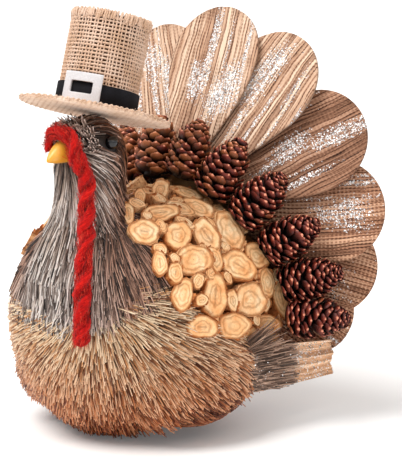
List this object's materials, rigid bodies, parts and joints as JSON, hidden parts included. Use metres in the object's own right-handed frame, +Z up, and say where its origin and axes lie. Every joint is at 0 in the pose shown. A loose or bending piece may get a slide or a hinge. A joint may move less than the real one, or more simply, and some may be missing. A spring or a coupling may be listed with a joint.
{
  "type": "harvest turkey figure",
  "caption": "Standing turkey table decoration of craft foam with a dried-grass coat, twig slices on the back, pine cones, a fan of bark feathers and a burlap hat.",
  "frame": {"origin": "on the ground, under the middle of the whole figure's box", "axes": "+Z up, the beak points to -Y, the tail fan stands at +Y, +X is the bird's left"},
  "size_m": [0.282, 0.2076, 0.2989],
  "materials": {
    "foam": "craft foam painted brown",
    "felt_pad": "thick pressed felt",
    "dowel_wood": "plain turned stick",
    "tan_straw": "dried grass straws",
    "grey_straw": "dyed dried grass straws",
    "horn": "glossy moulded resin",
    "red_wool": "twisted felted wool",
    "bead": "polished bead",
    "veneer": "pleated wood veneer with glitter",
    "bark": "strips of thin bark with glitter",
    "kraft_board": "plain board",
    "cone_scale": "dry cone scales",
    "twig": "sawn twig, bark on the rim",
    "burlap": "coarse open weave, stiffened",
    "ribbon": "ribbed ribbon",
    "white_felt": "die-cut felt"
  },
  "bodies": {
    "root": {"body_core": "foam", "neck_core": "foam", "base_pad": "felt_pad", "neck_dowel": "dowel_wood", "breast_coat": "tan_straw", "neck_coat": "grey_straw", "wing_straw_left": "grey_straw", "wing_straw_right": "grey_straw", "beak": "horn", "wattle": "red_wool", "eye_left": "bead", "eye_right": "bead", "wing_tip_left": "veneer", "wing_tip_right": "veneer", "tail_feather_1": "bark", "tail_feather_2": "bark", "tail_feather_3": "bark", "tail_feather_4": "bark", "tail_feather_5": "bark", "tail_feather_6": "bark", "tail_feather_7": "bark", "tail_feather_8": "bark", "tail_feather_9": "bark", "tail_feather_10": "bark", "tail_feather_11": "bark", "tail_back_disc": "kraft_board", "pine_cone_1": "cone_scale", "pine_cone_2": "cone_scale", "pine_cone_3": "cone_scale", "pine_cone_4": "cone_scale", "pine_cone_5": "cone_scale", "pine_cone_6": "cone_scale", "pine_cone_7": "cone_scale", "pine_cone_8": "cone_scale", "pine_cone_9": "cone_scale", "pine_cone_10": "cone_scale", "pine_cone_11": "cone_scale", "pine_cone_12": "cone_scale", "slice_row_1_right": "twig", "slice_row_1_left": "twig", "slice_row_2_right": "twig", "slice_row_2_left": "twig", "slice_row_3_right": "twig", "slice_row_3_left": "twig", "slice_row_4_right": "twig", "slice_row_4_left": "twig", "slice_row_5_right": "twig", "slice_row_5_left": "twig", "slice_row_6_right": "twig", "slice_row_6_left": "twig", "hat_brim": "burlap", "hat_crown": "burlap", "hat_top": "burlap", "hat_band": "ribbon", "hat_buckle": "white_felt"}
  },
  "joints": []
}
